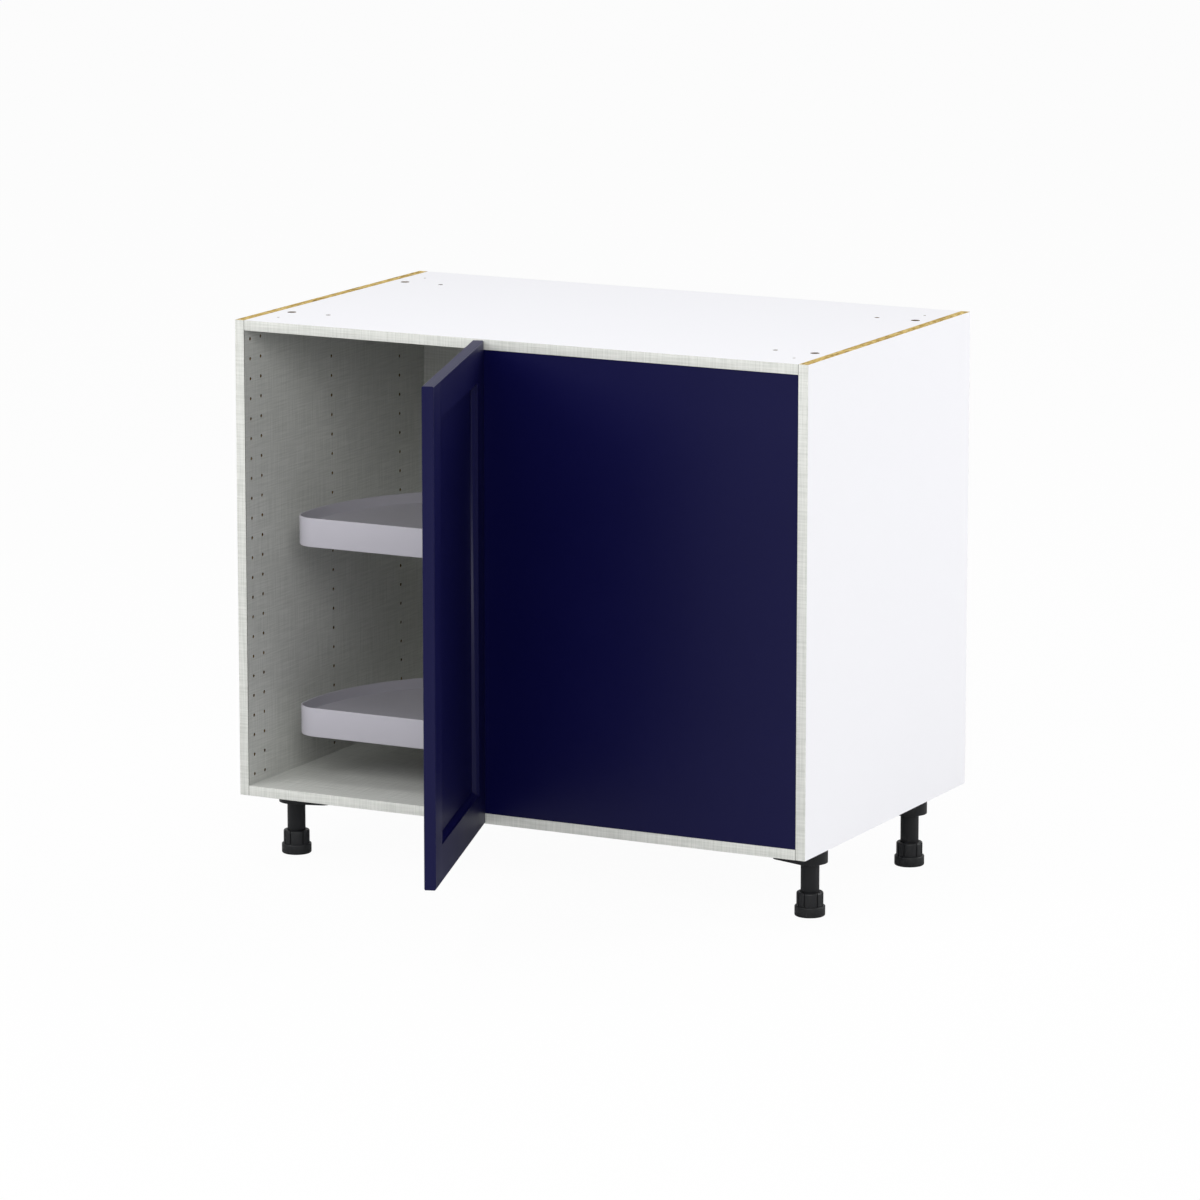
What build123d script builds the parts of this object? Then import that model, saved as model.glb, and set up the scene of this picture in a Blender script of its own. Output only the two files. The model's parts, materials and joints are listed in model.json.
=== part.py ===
from build123d import *
from math import cos, radians, sin
import os

os.makedirs("parts", exist_ok=True)

# A base cabinet for a blind kitchen corner, in millimetres. X runs along the front, Y towards the wall.
# Z is up from the floor. The door is drawn open, and X = 0 is the middle of the carcass.
# Small round forms are drawn with flat sides, as many as these names say.
fine_sides = 20
coarse_sides = 12
small_sides = 6
hidden_sides = 5

# Carcass
carcass_width = 990.6
carcass_depth = 600.0
carcass_height = 762.0
leg_height = 114.3
board = 16.0
back_board = 16.0
edge_band = 1.0

# Shelf pin holes in the sides
pin_bore = 5.0
pin_bore_depth = 10.0
pin_pitch = 31.75
pin_end_margin = 30.0
pin_front_setback = 19.0
pin_second_setback = 51.0
pin_rear_setback = 99.0

# Knock-down fittings between panels and sides
cam_bore = 15.0
cam_bore_depth = 12.5
cam_edge = 24.0
cam_height = 11.0
cam_slot_length = 10.0
cam_slot_width = 1.6
cam_slot_depth = 2.0
cam_front_setback = 109.0
cam_rear_setback = 122.0
cam_bolt_bore = 8.0
cam_bolt_stem = 6.0
cam_bolt_thread = 5.0
cam_bolt_thread_length = 11.0
dowel_bore = 8.0
dowel_length = 30.0
dowel_from_cam = 32.0
fit_clearance = 0.1

# Holes in the top panel for fixing the worktop
worktop_screw_bore = 5.0
worktop_screw_inset = 48.0
worktop_screw_front = 52.5
worktop_screw_rear = 69.0
worktop_dowel_bore = 8.5
worktop_dowel_depth = 12.0
worktop_dowel_inset = 106.0

# Blind front panel and its angle brackets
blind_edge_x = -66.0
blind_board = 18.0
blind_recess = 2.0
bracket_leg = 28.0
bracket_width = 24.0
bracket_steel = 2.0
bracket_end_inset = 70.0
bracket_screw_reach = 17.0

# Door
door_board = 18.0
door_reveal = 1.5
door_gap = 3.0
door_overlay = 15.8
open_angle = 108.6
frame_width = 57.0
frame_step = 4.0
frame_bevel = 6.5
panel_board = 5.0
panel_tongue = 7.5
tongue_clearance = 0.5
door_edge_ease = 1.5

# Single-pivot cup hinge
hinge_end_inset = 60.0
pivot_inset = 8.6
pivot_depth = 9.2
cup_diameter = 35.0
cup_edge = 3.0
cup_wall = 1.0
cup_floor = 0.9
cup_flange = 1.2
cup_flange_rim = 1.5
cup_ear_radius = 6.5
cup_screw_spacing = 45.0
cup_screw_offset = 9.5
hinge_pin_diameter = 3.0
hinge_pin_length = 22.4
hinge_pin_play = 0.05
hinge_eye_diameter = 5.6
arm_width = 12.0
arm_steel = 1.8
arm_crank_run = 16.0
arm_crank_cut = 2.5
arm_reach = 46.0
arm_running_gap = 0.3
arm_screw = 4.0
hinge_plate_thickness = 3.5
hinge_plate_length = 50.0
hinge_plate_width = 20.0
hinge_plate_corner = 3.0
hinge_plate_spacing = 32.0
hinge_plate_from_pin = 28.0

# Feet
foot_front_setback = 115.0
foot_rear_setback = 114.0
foot_inset_left = 36.0
foot_inset_right = 45.0
foot_bracket_height = 30.0
foot_bracket_radius = 27.5
foot_wing_reach = 62.0
foot_wing_radius = 13.0
foot_bracket_wall = 2.5
foot_bracket_plate = 4.0
foot_screw_radius = 21.0
leg_diameter = 29.0
leg_bore = 21.0
leg_clearance = 0.5
foot_base_diameter = 47.6
foot_base_height = 15.8
foot_base_chamfer = 2.0
foot_collar_diameter = 41.8
foot_collar_height = 22.0
foot_collar_chamfer = 2.5
foot_grips = 4
foot_grip_span = 57.0
foot_grip_turn = 30.0
foot_groove_depth = 1.0
foot_groove_width = 1.8
foot_socket_floor = 1.5
foot_stem_height = 48.0

# Carousel post and its bearings
post_x = -105.0
post_setback = 89.0
post_diameter = 25.0
post_wall = 1.5
bearing_plate = 62.0
bearing_plate_thickness = 4.0
bearing_plate_corner = 6.0
bearing_socket_height = 24.0
bearing_socket_wall = 4.0
bearing_screw_pcd = 48.0
collar_diameter = 42.0
collar_height = 14.0
collar_screw = 6.0

# Half-moon trays
tray_radius = 330.0
tray_front_gap = 60.0
tray_arc_setback = 66.0
tray_corner_radius = 40.0
tray_height = 46.5
tray_rim = 17.0
tray_floor = 3.0
tray_wall = 3.0
tray_rib = 2.5
tray_rib_count = 5
tray_hub_diameter = 46.0
tray_lower_z = 92.0
tray_pitch = 306.0
hub_clearance = 0.5
hub_seat_gap = 0.3
hub_above_floor = 8.0

# Screws
screw_shank = 3.5
screw_length = 14.0
screw_head = 7.5
screw_head_height = 2.4

# Heights and places that follow from the sizes above
box_bottom = leg_height
box_top = leg_height + carcass_height
inner_half = carcass_width / 2 - board
inner_width = 2 * inner_half
bottom_top = box_bottom + board
top_underside = box_top - board
hinge_edge_x = blind_edge_x + door_overlay
door_left_x = -carcass_width / 2 + door_reveal
door_width = hinge_edge_x - door_left_x
door_height = carcass_height - 2 * door_reveal
door_bottom = box_bottom + door_reveal
pivot_x = hinge_edge_x - pivot_inset
swing = radians(open_angle)

# The open door reaches this far in front of the carcass, and Y = 0 is halfway from there to the wall
latch_reach = (door_width - pivot_inset) * sin(swing) - (pivot_depth - door_edge_ease) * cos(swing)
door_reach = door_gap + pivot_depth + latch_reach
front_y = (door_reach - carcass_depth) / 2
wall_y = front_y + carcass_depth
pivot_y = front_y - door_gap - pivot_depth

# Places on the sides: shelf pin columns, cam fittings and dowels
pin_columns = (
    front_y + pin_front_setback,
    front_y + pin_second_setback,
    front_y + (pin_second_setback + carcass_depth - pin_rear_setback) / 2,
    wall_y - pin_rear_setback,
)
pin_rows = int((carcass_height - 2 * pin_end_margin) // pin_pitch) + 1
panel_mids = (box_bottom + board / 2, box_top - board / 2)
cam_columns = (front_y + cam_front_setback, wall_y - cam_rear_setback)
dowel_columns = (cam_columns[0] - dowel_from_cam, cam_columns[1] + dowel_from_cam)
cam_places = [(hand * (inner_half - cam_edge), y) for hand in (-1, 1) for y in cam_columns]
bolt_ends = [(y, z) for y in cam_columns for z in panel_mids]
dowel_ends = [(y, z) for y in dowel_columns for z in panel_mids]

# Sides: full height and depth, with shelf pin holes and the fittings' bores in the inner face
for hand, name in ((-1, "side_left"), (1, "side_right")):
    with BuildPart() as side:
        with BuildSketch(Plane.YZ.offset(hand * inner_half)):
            with Locations((front_y + edge_band, box_bottom)):
                Rectangle(carcass_depth - edge_band, carcass_height, align=(Align.MIN, Align.MIN))
        extrude(amount=hand * board)
        with BuildSketch(Plane.YZ.offset(hand * inner_half)):
            with Locations(*bolt_ends):
                RegularPolygon(cam_bolt_thread / 2 + fit_clearance, hidden_sides)
        extrude(amount=hand * cam_bolt_thread_length, mode=Mode.SUBTRACT)
        with BuildSketch(Plane.YZ.offset(hand * inner_half)):
            with Locations(*dowel_ends):
                RegularPolygon(dowel_bore / 2 + fit_clearance, hidden_sides)
        extrude(amount=hand * (dowel_length / 3 + fit_clearance), mode=Mode.SUBTRACT)
        with BuildSketch(Plane.YZ.offset(hand * inner_half)):
            for column in pin_columns:
                with Locations((column, (box_bottom + box_top) / 2)):
                    with GridLocations(pin_pitch, pin_pitch, 1, pin_rows):
                        RegularPolygon(pin_bore / 2, hidden_sides, major_radius=False)
        extrude(amount=hand * pin_bore_depth, mode=Mode.SUBTRACT)
    side.part.label = name
    export_step(side.part, f"parts/{name}.step")

# Top and bottom panels: between the sides, each with its cams let in from outside the cupboard
for name, middle_z, outward in (("top_panel", panel_mids[1], 1), ("bottom_panel", panel_mids[0], -1)):
    outer_face = Plane.XY.offset(middle_z + outward * board / 2)
    with BuildPart() as panel:
        with BuildSketch(outer_face):
            with Locations((0, front_y + edge_band)):
                Rectangle(inner_width, carcass_depth - edge_band, align=(Align.CENTER, Align.MIN))
        extrude(amount=-outward * board)
        with BuildSketch(outer_face):
            with Locations(*cam_places):
                RegularPolygon(cam_bore / 2, coarse_sides)
        extrude(amount=-outward * cam_bore_depth, mode=Mode.SUBTRACT)
        for hand in (-1, 1):
            with BuildSketch(Plane.YZ.offset(hand * inner_half)):
                with Locations(*[(y, middle_z) for y in cam_columns]):
                    RegularPolygon(cam_bolt_bore / 2, hidden_sides)
            extrude(amount=-hand * cam_edge, mode=Mode.SUBTRACT)
            with BuildSketch(Plane.YZ.offset(hand * inner_half)):
                with Locations(*[(y, middle_z) for y in dowel_columns]):
                    RegularPolygon(dowel_bore / 2 + fit_clearance, hidden_sides)
            extrude(amount=-hand * (2 * dowel_length / 3 + fit_clearance), mode=Mode.SUBTRACT)
        if name == "top_panel":
            with BuildSketch(outer_face):
                for y in (front_y + worktop_screw_front, wall_y - worktop_screw_rear):
                    with Locations((0, y)):
                        with GridLocations(carcass_width - 2 * worktop_screw_inset, 1, 2, 1):
                            Circle(worktop_screw_bore / 2)
            extrude(amount=-board, mode=Mode.SUBTRACT)
            with BuildSketch(outer_face):
                for y in cam_columns:
                    with Locations((0, y)):
                        with GridLocations(carcass_width - 2 * worktop_dowel_inset, 1, 2, 1):
                            RegularPolygon(worktop_dowel_bore / 2, coarse_sides)
            extrude(amount=-worktop_dowel_depth, mode=Mode.SUBTRACT)
    panel.part.label = name
    export_step(panel.part, f"parts/{name}.step")

# Back panel: held between the four boards
with BuildPart() as back_panel:
    with BuildSketch(Plane.XY.offset(bottom_top)):
        with Locations((0, wall_y)):
            Rectangle(inner_width, back_board, align=(Align.CENTER, Align.MAX))
    extrude(amount=top_underside - bottom_top)
back_panel.part.label = "back_panel"
export_step(back_panel.part, "parts/back_panel.step")

# Edge banding: one strip on the front edge of each board
with BuildPart() as front_edge_bands:
    with BuildSketch(Plane.XZ.offset(-front_y)):
        for x in (-carcass_width / 2, inner_half):
            with Locations((x, box_bottom)):
                Rectangle(board, carcass_height, align=(Align.MIN, Align.MIN))
        for z in panel_mids:
            with Locations((0, z)):
                Rectangle(inner_width, board)
    extrude(amount=-edge_band)
front_edge_bands.part.label = "front_edge_bands"
export_step(front_edge_bands.part, "parts/front_edge_bands.step")

# Cam locks: slotted discs on the floors of their bores, each with a hole for its bolt's end
with BuildPart() as cam_locks:
    for middle_z, outward in ((panel_mids[1], 1), (panel_mids[0], -1)):
        bore_floor_z = middle_z + outward * (board / 2 - cam_bore_depth)
        with BuildSketch(Plane.XY.offset(bore_floor_z)):
            with Locations(*cam_places):
                RegularPolygon(cam_bore / 2 - fit_clearance, coarse_sides)
        extrude(amount=outward * cam_height)
        with BuildSketch(Plane.XY.offset(bore_floor_z + outward * cam_height)):
            with Locations(*cam_places):
                Rectangle(cam_slot_length, cam_slot_width)
        extrude(amount=-outward * cam_slot_depth, mode=Mode.SUBTRACT)
        for hand in (-1, 1):
            with BuildSketch(Plane.YZ.offset(hand * (inner_half - cam_edge))):
                with Locations(*[(y, middle_z) for y in cam_columns]):
                    RegularPolygon(cam_bolt_bore / 2, hidden_sides)
            extrude(amount=hand * cam_bore, mode=Mode.SUBTRACT)
cam_locks.part.label = "cam_locks"
export_step(cam_locks.part, "parts/cam_locks.step")

# Cam bolts: screwed into the sides, with their stems running into the cams
with BuildPart() as cam_bolts:
    for hand in (-1, 1):
        with BuildSketch(Plane.YZ.offset(hand * inner_half)):
            with Locations(*bolt_ends):
                RegularPolygon(cam_bolt_thread / 2, hidden_sides)
        extrude(amount=hand * (cam_bolt_thread_length - fit_clearance))
        with BuildSketch(Plane.YZ.offset(hand * inner_half)):
            with Locations(*bolt_ends):
                RegularPolygon(cam_bolt_stem / 2, hidden_sides)
        extrude(amount=-hand * cam_edge)
cam_bolts.part.label = "cam_bolts"
export_step(cam_bolts.part, "parts/cam_bolts.step")

# Dowels: a third in the side, two thirds in the panel's end
with BuildPart() as wood_dowels:
    for hand in (-1, 1):
        with BuildSketch(Plane.YZ.offset(hand * (inner_half + dowel_length / 3))):
            with Locations(*dowel_ends):
                RegularPolygon(dowel_bore / 2, hidden_sides)
        extrude(amount=-hand * dowel_length)
wood_dowels.part.label = "wood_dowels"
export_step(wood_dowels.part, "parts/wood_dowels.step")

# Blind panel: closes the opening to the right of the door, set back a little
blind_back_y = front_y + blind_recess + blind_board
with BuildPart() as blind_panel:
    with BuildSketch(Plane.XY.offset(bottom_top)):
        with Locations((blind_edge_x, blind_back_y)):
            Rectangle(inner_half - blind_edge_x, blind_board, align=(Align.MIN, Align.MAX))
    extrude(amount=top_underside - bottom_top)
blind_panel.part.label = "blind_panel"
export_step(blind_panel.part, "parts/blind_panel.step")

# Angle brackets: hold the blind panel to the bottom and top panels from behind
bracket_xs = (blind_edge_x + bracket_end_inset, inner_half - bracket_end_inset)
with BuildPart() as panel_brackets:
    for x in bracket_xs:
        for z, rest in ((bottom_top, Align.MIN), (top_underside, Align.MAX)):
            with BuildSketch(Plane.YZ.offset(x - bracket_width / 2)):
                with Locations((blind_back_y, z)):
                    Rectangle(bracket_leg, bracket_steel, align=(Align.MIN, rest))
                    Rectangle(bracket_steel, bracket_leg, align=(Align.MIN, rest))
            extrude(amount=bracket_width)
panel_brackets.part.label = "panel_brackets"
export_step(panel_brackets.part, "parts/panel_brackets.step")

# The door's own axes: X from the hinge pin to the latch side, Y to its front face, turned open
door_axes = Plane(origin=(pivot_x, pivot_y, 0), x_dir=(-cos(swing), -sin(swing), 0), z_dir=(0, 0, 1))
door_front = door_board - pivot_depth
door_top = door_bottom + door_height
hinge_edge = -pivot_inset
latch_edge = hinge_edge + door_width
panel_front = frame_step + frame_bevel
frame_foot = frame_width + frame_bevel
groove_end = frame_foot - panel_tongue - tongue_clearance

# Section of the frame: distance in from the outer edge, then depth behind the front face
frame_section = (
    (door_edge_ease, 0),
    (frame_width, 0),
    (frame_width, frame_step),
    (frame_foot, panel_front),
    (groove_end, panel_front),
    (groove_end, panel_front + panel_board),
    (frame_foot, panel_front + panel_board),
    (frame_foot, door_board),
    (door_edge_ease, door_board),
    (0, door_board - door_edge_ease),
    (0, door_edge_ease),
)
across_door = Plane(
    origin=door_axes.from_local_coords((hinge_edge, 0, 0)),
    x_dir=door_axes.y_dir,
    z_dir=door_axes.x_dir,
)

# Outer envelope of the door: trims the ends of the stiles to the same eased edge
with BuildPart() as door_envelope:
    with BuildSketch(across_door) as envelope_section:
        with Locations((door_front, door_bottom)):
            Rectangle(door_board, door_height, align=(Align.MAX, Align.MIN))
        chamfer(envelope_section.vertices(), door_edge_ease)
    extrude(amount=door_width)

# Cup hinges: the cups' seats on the back of the hinge stile
cup_x = hinge_edge + cup_edge + cup_diameter / 2
cup_depth = pivot_depth + hinge_eye_diameter / 2 + arm_running_gap + cup_floor
hinge_heights = (door_bottom + hinge_end_inset, door_top - hinge_end_inset)
cup_seats = [
    Plane(
        origin=door_axes.from_local_coords((cup_x, -pivot_depth, z)),
        x_dir=door_axes.x_dir,
        z_dir=door_axes.y_dir,
    )
    for z in hinge_heights
]

# Door stiles: full height, with the panel groove and, on the hinge side, the cup bores
with BuildPart() as door_hinge_stile:
    with BuildSketch(door_axes.offset(door_bottom)):
        Polygon(*[(hinge_edge + u, door_front - v) for u, v in frame_section], align=None)
    extrude(amount=door_height)
    add(door_envelope.part, mode=Mode.INTERSECT)
    for seat in cup_seats:
        with BuildSketch(seat):
            RegularPolygon(cup_diameter / 2 + fit_clearance, fine_sides)
        extrude(amount=cup_depth, mode=Mode.SUBTRACT)
door_hinge_stile.part.label = "door_hinge_stile"
export_step(door_hinge_stile.part, "parts/door_hinge_stile.step")

with BuildPart() as door_latch_stile:
    with BuildSketch(door_axes.offset(door_bottom)):
        Polygon(*[(latch_edge - u, door_front - v) for u, v in frame_section], align=None)
    extrude(amount=door_height)
    add(door_envelope.part, mode=Mode.INTERSECT)
door_latch_stile.part.label = "door_latch_stile"
export_step(door_latch_stile.part, "parts/door_latch_stile.step")

# Door rails: the same section, coped over the stiles with a tenon in each groove
for name, outer_z, inward in (("door_bottom_rail", door_bottom, 1), ("door_top_rail", door_top, -1)):
    with BuildPart() as rail:
        with BuildSketch(across_door.offset(groove_end)):
            Polygon(*[(door_front - v, outer_z + inward * u) for u, v in frame_section], align=None)
        extrude(amount=door_width - 2 * groove_end)
        add(door_hinge_stile.part, mode=Mode.SUBTRACT)
        add(door_latch_stile.part, mode=Mode.SUBTRACT)
    rail.part.label = name
    export_step(rail.part, f"parts/{name}.step")

# Door panel: its tongue fills the grooves all round, short of their floors
panel_inset = frame_foot - panel_tongue
with BuildPart() as door_center_panel:
    with BuildSketch(door_axes.offset(door_bottom + panel_inset)):
        with Locations((hinge_edge + panel_inset, door_front - panel_front)):
            Rectangle(door_width - 2 * panel_inset, panel_board, align=(Align.MIN, Align.MAX))
    extrude(amount=door_height - 2 * panel_inset)
door_center_panel.part.label = "door_center_panel"
export_step(door_center_panel.part, "parts/door_center_panel.step")

# Hinge cups: thin-walled, with a flange and two screw ears on the door's back face
with BuildPart() as hinge_cups:
    for seat in cup_seats:
        with BuildSketch(seat):
            RegularPolygon(cup_diameter / 2, fine_sides)
        extrude(amount=cup_depth)
        with BuildSketch(seat):
            RegularPolygon(cup_diameter / 2 + cup_flange_rim, fine_sides)
            with Locations((cup_screw_offset, 0)):
                with GridLocations(1, cup_screw_spacing, 1, 2):
                    RegularPolygon(cup_ear_radius, coarse_sides)
            make_hull()
        extrude(amount=-cup_flange)
        with BuildSketch(seat.offset(-cup_flange)):
            RegularPolygon(cup_diameter / 2 - cup_wall, fine_sides)
        extrude(amount=cup_flange + cup_depth - cup_floor, mode=Mode.SUBTRACT)
hinge_cups.part.label = "hinge_cups"
export_step(hinge_cups.part, "parts/hinge_cups.step")

# Hinge pins: pressed across the cups; the door turns with them in the arms' eyes
with BuildPart() as hinge_pins:
    for z in hinge_heights:
        with BuildSketch(door_axes.offset(z - hinge_pin_length / 2)):
            Circle(hinge_pin_diameter / 2)
        extrude(amount=hinge_pin_length)
hinge_pins.part.label = "hinge_pins"
export_step(hinge_pins.part, "parts/hinge_pins.step")

# Hinge arms: from an eye round the pin out of the cup and round behind the blind panel's edge
arm_back = blind_back_y + hinge_plate_thickness + arm_steel / 2 - pivot_y
eye_offset = (hinge_eye_diameter - arm_steel) / 2
with BuildPart() as hinge_arms:
    for z in hinge_heights:
        with BuildSketch(Plane((pivot_x, pivot_y, z - arm_width / 2))):
            with BuildLine():
                Polyline(
                    (0, -eye_offset),
                    (-arm_crank_run + arm_crank_cut, -eye_offset),
                    (-arm_crank_run, arm_crank_cut - eye_offset),
                    (-arm_crank_run, arm_back - arm_crank_cut),
                    (-arm_crank_run + arm_crank_cut, arm_back),
                    (arm_reach, arm_back),
                )
            trace(line_width=arm_steel)
            RegularPolygon(hinge_eye_diameter / 2, coarse_sides)
            Circle(hinge_pin_diameter / 2 + hinge_pin_play, mode=Mode.SUBTRACT)
        extrude(amount=arm_width)
hinge_arms.part.label = "hinge_arms"
export_step(hinge_arms.part, "parts/hinge_arms.step")

# Hinge plates: between the arms and the back of the blind panel
plate_x = pivot_x + hinge_plate_from_pin
plate_back_y = blind_back_y + hinge_plate_thickness
with BuildPart() as hinge_plates:
    for z in hinge_heights:
        with BuildSketch(Plane.XZ.offset(-blind_back_y)) as plate_outline:
            with Locations((plate_x, z)):
                Rectangle(hinge_plate_width, hinge_plate_length)
            chamfer(plate_outline.vertices(), hinge_plate_corner)
        extrude(amount=-hinge_plate_thickness)
hinge_plates.part.label = "hinge_plates"
export_step(hinge_plates.part, "parts/hinge_plates.step")

# Feet: screw-on brackets with a wing towards the middle of the cabinet
foot_places = {
    "front_left": (-carcass_width / 2 + foot_inset_left, front_y + foot_front_setback, 1),
    "front_right": (carcass_width / 2 - foot_inset_right, front_y + foot_front_setback, -1),
    "back_left": (-carcass_width / 2 + foot_inset_left, wall_y - foot_rear_setback, 1),
    "back_right": (carcass_width / 2 - foot_inset_right, wall_y - foot_rear_setback, -1),
}
bracket_under_z = box_bottom - foot_bracket_height
wing_span = foot_wing_reach - foot_wing_radius
socket_bore = leg_diameter / 2 + fit_clearance
with BuildPart() as foot_brackets:
    for x, y, inward in foot_places.values():
        with BuildSketch(Plane.XY.offset(bracket_under_z)):
            with Locations((x, y)):
                RegularPolygon(foot_bracket_radius, fine_sides)
            with Locations((x + inward * wing_span, y)):
                RegularPolygon(foot_wing_radius, coarse_sides)
            make_hull()
        extrude(amount=foot_bracket_height)
        with BuildSketch(Plane.XY.offset(bracket_under_z)):
            with Locations((x, y)):
                RegularPolygon(foot_bracket_radius - foot_bracket_wall, fine_sides)
            with Locations((x + inward * wing_span, y)):
                RegularPolygon(foot_wing_radius - foot_bracket_wall, coarse_sides)
            make_hull()
            with Locations((x, y)):
                RegularPolygon(socket_bore + foot_bracket_wall, coarse_sides, mode=Mode.SUBTRACT)
        extrude(amount=foot_bracket_height - foot_bracket_plate, mode=Mode.SUBTRACT)
        with BuildSketch(Plane.XY.offset(bracket_under_z)):
            with Locations((x, y)):
                RegularPolygon(socket_bore, coarse_sides)
        extrude(amount=foot_bracket_height - foot_socket_floor, mode=Mode.SUBTRACT)
foot_brackets.part.label = "foot_brackets"
export_step(foot_brackets.part, "parts/foot_brackets.step")

# Leg tubes: fixed in the brackets, open below for the adjusters' stems
with BuildPart() as leg_tubes:
    with BuildSketch(Plane.XY.offset(foot_base_height + leg_clearance)):
        with Locations(*[(x, y) for x, y, inward in foot_places.values()]):
            RegularPolygon(leg_diameter / 2, coarse_sides)
            RegularPolygon(leg_bore / 2, coarse_sides, mode=Mode.SUBTRACT)
    extrude(amount=box_bottom - foot_socket_floor - foot_base_height - leg_clearance)
leg_tubes.part.label = "leg_tubes"
export_step(leg_tubes.part, "parts/leg_tubes.step")

# Adjusters: base, collar with four grips round the tube and stem inside; they slide down to raise the box
collar_radius = foot_collar_diameter / 2
for corner, (x, y, inward) in foot_places.items():
    with BuildPart() as adjuster:
        with BuildSketch(Plane.XY):
            with Locations((x, y)):
                RegularPolygon(foot_base_diameter / 2, fine_sides)
        extrude(amount=foot_base_height)
        chamfer(adjuster.edges().group_by(Axis.Z)[0], foot_base_chamfer)
        with BuildSketch(Plane.XY.offset(foot_base_height)):
            with Locations((x, y)):
                RegularPolygon(collar_radius, fine_sides)
        extrude(amount=foot_collar_height)
        chamfer(adjuster.edges().group_by(Axis.Z)[-1], foot_collar_chamfer)
        with BuildSketch(Plane.XY.offset(foot_base_height)):
            with Locations((x, y)):
                for side in (-1, 1):
                    groove_angle = foot_grip_turn + side * foot_grip_span / 2
                    with PolarLocations(collar_radius, foot_grips, start_angle=groove_angle):
                        Rectangle(2 * foot_groove_depth, foot_groove_width)
                RegularPolygon(leg_diameter / 2 + leg_clearance, coarse_sides)
        extrude(amount=foot_collar_height, mode=Mode.SUBTRACT)
        with BuildSketch(Plane.XY.offset(foot_base_height)):
            with Locations((x, y)):
                RegularPolygon(leg_bore / 2 - leg_clearance, small_sides)
        extrude(amount=foot_stem_height)
    adjuster.part.label = f"foot_adjuster_{corner}"
    export_step(adjuster.part, f"parts/foot_adjuster_{corner}.step")

# Carousel post: a tube from the bottom panel to the top one
post_y = front_y + post_setback
with BuildPart() as carousel_post:
    with BuildSketch(Plane.XY.offset(bottom_top + bearing_plate_thickness)):
        with Locations((post_x, post_y)):
            Circle(post_diameter / 2)
            RegularPolygon(post_diameter / 2 - post_wall, coarse_sides, mode=Mode.SUBTRACT)
    extrude(amount=top_underside - bottom_top - 2 * bearing_plate_thickness)
carousel_post.part.label = "carousel_post"
export_step(carousel_post.part, "parts/carousel_post.step")

# Post sockets: a plate and ring at each end of the post
socket_hole = post_diameter / 2 + fit_clearance
with BuildPart() as post_sockets:
    for face_z, inward in ((bottom_top, 1), (top_underside, -1)):
        with BuildSketch(Plane.XY.offset(face_z)) as socket_outline:
            with Locations((post_x, post_y)):
                Rectangle(bearing_plate, bearing_plate)
            chamfer(socket_outline.vertices(), bearing_plate_corner)
        extrude(amount=inward * bearing_plate_thickness)
        with BuildSketch(Plane.XY.offset(face_z + inward * bearing_plate_thickness)):
            with Locations((post_x, post_y)):
                RegularPolygon(socket_hole + bearing_socket_wall, fine_sides, major_radius=False)
                RegularPolygon(socket_hole, fine_sides, major_radius=False, mode=Mode.SUBTRACT)
        extrude(amount=inward * bearing_socket_height)
post_sockets.part.label = "post_sockets"
export_step(post_sockets.part, "parts/post_sockets.step")

# Trays: half-moons with a straight front, a raised rim, and ribs and a hub below
tray_front_y = front_y + tray_front_gap
tray_heights = (box_bottom + tray_lower_z, box_bottom + tray_lower_z + tray_pitch)
floor_height = tray_height - tray_rim
with BuildSketch() as tray_outline:
    with Locations((post_x, tray_front_y + tray_arc_setback)):
        Circle(tray_radius)
    with Locations((post_x, tray_front_y)):
        Rectangle(2 * tray_radius, 2 * tray_radius, align=(Align.CENTER, Align.MIN), mode=Mode.INTERSECT)
    fillet(tray_outline.vertices(), tray_corner_radius)
with BuildSketch() as tray_inside:
    add(tray_outline.sketch)
    offset(amount=-tray_wall, mode=Mode.REPLACE)
with BuildSketch() as tray_pockets:
    add(tray_inside.sketch)
    with Locations((post_x, post_y)):
        RegularPolygon(tray_hub_diameter / 2, fine_sides, mode=Mode.SUBTRACT)
        for rib in range(tray_rib_count):
            Rectangle(
                2 * tray_radius,
                tray_rib,
                rotation=180 * rib / (tray_rib_count - 1),
                align=(Align.MIN, Align.CENTER),
                mode=Mode.SUBTRACT,
            )

for name, base_z in zip(("tray_lower", "tray_upper"), tray_heights):
    with BuildPart() as tray:
        with BuildSketch(Plane.XY.offset(base_z)):
            add(tray_outline.sketch)
        extrude(amount=tray_height)
        with BuildSketch(Plane.XY.offset(base_z + tray_height)):
            add(tray_inside.sketch)
        extrude(amount=-tray_rim, mode=Mode.SUBTRACT)
        with BuildSketch(Plane.XY.offset(base_z)):
            add(tray_pockets.sketch)
        extrude(amount=floor_height - tray_floor, mode=Mode.SUBTRACT)
        with BuildSketch(Plane.XY.offset(base_z + floor_height)):
            with Locations((post_x, post_y)):
                RegularPolygon(tray_hub_diameter / 2, fine_sides)
        extrude(amount=hub_above_floor)
        with BuildSketch(Plane.XY.offset(base_z)):
            with Locations((post_x, post_y)):
                Circle(post_diameter / 2 + hub_clearance)
        extrude(amount=floor_height + hub_above_floor, mode=Mode.SUBTRACT)
    tray.part.label = name
    export_step(tray.part, f"parts/{name}.step")

# Tray collars: clamped on the post just below each hub
with BuildPart() as tray_collars:
    for base_z in tray_heights:
        with BuildSketch(Plane.XY.offset(base_z - hub_seat_gap - collar_height)):
            with Locations((post_x, post_y)):
                RegularPolygon(collar_diameter / 2, fine_sides)
                RegularPolygon(socket_hole, fine_sides, major_radius=False, mode=Mode.SUBTRACT)
        extrude(amount=collar_height)
tray_collars.part.label = "tray_collars"
export_step(tray_collars.part, "parts/tray_collars.step")

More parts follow.
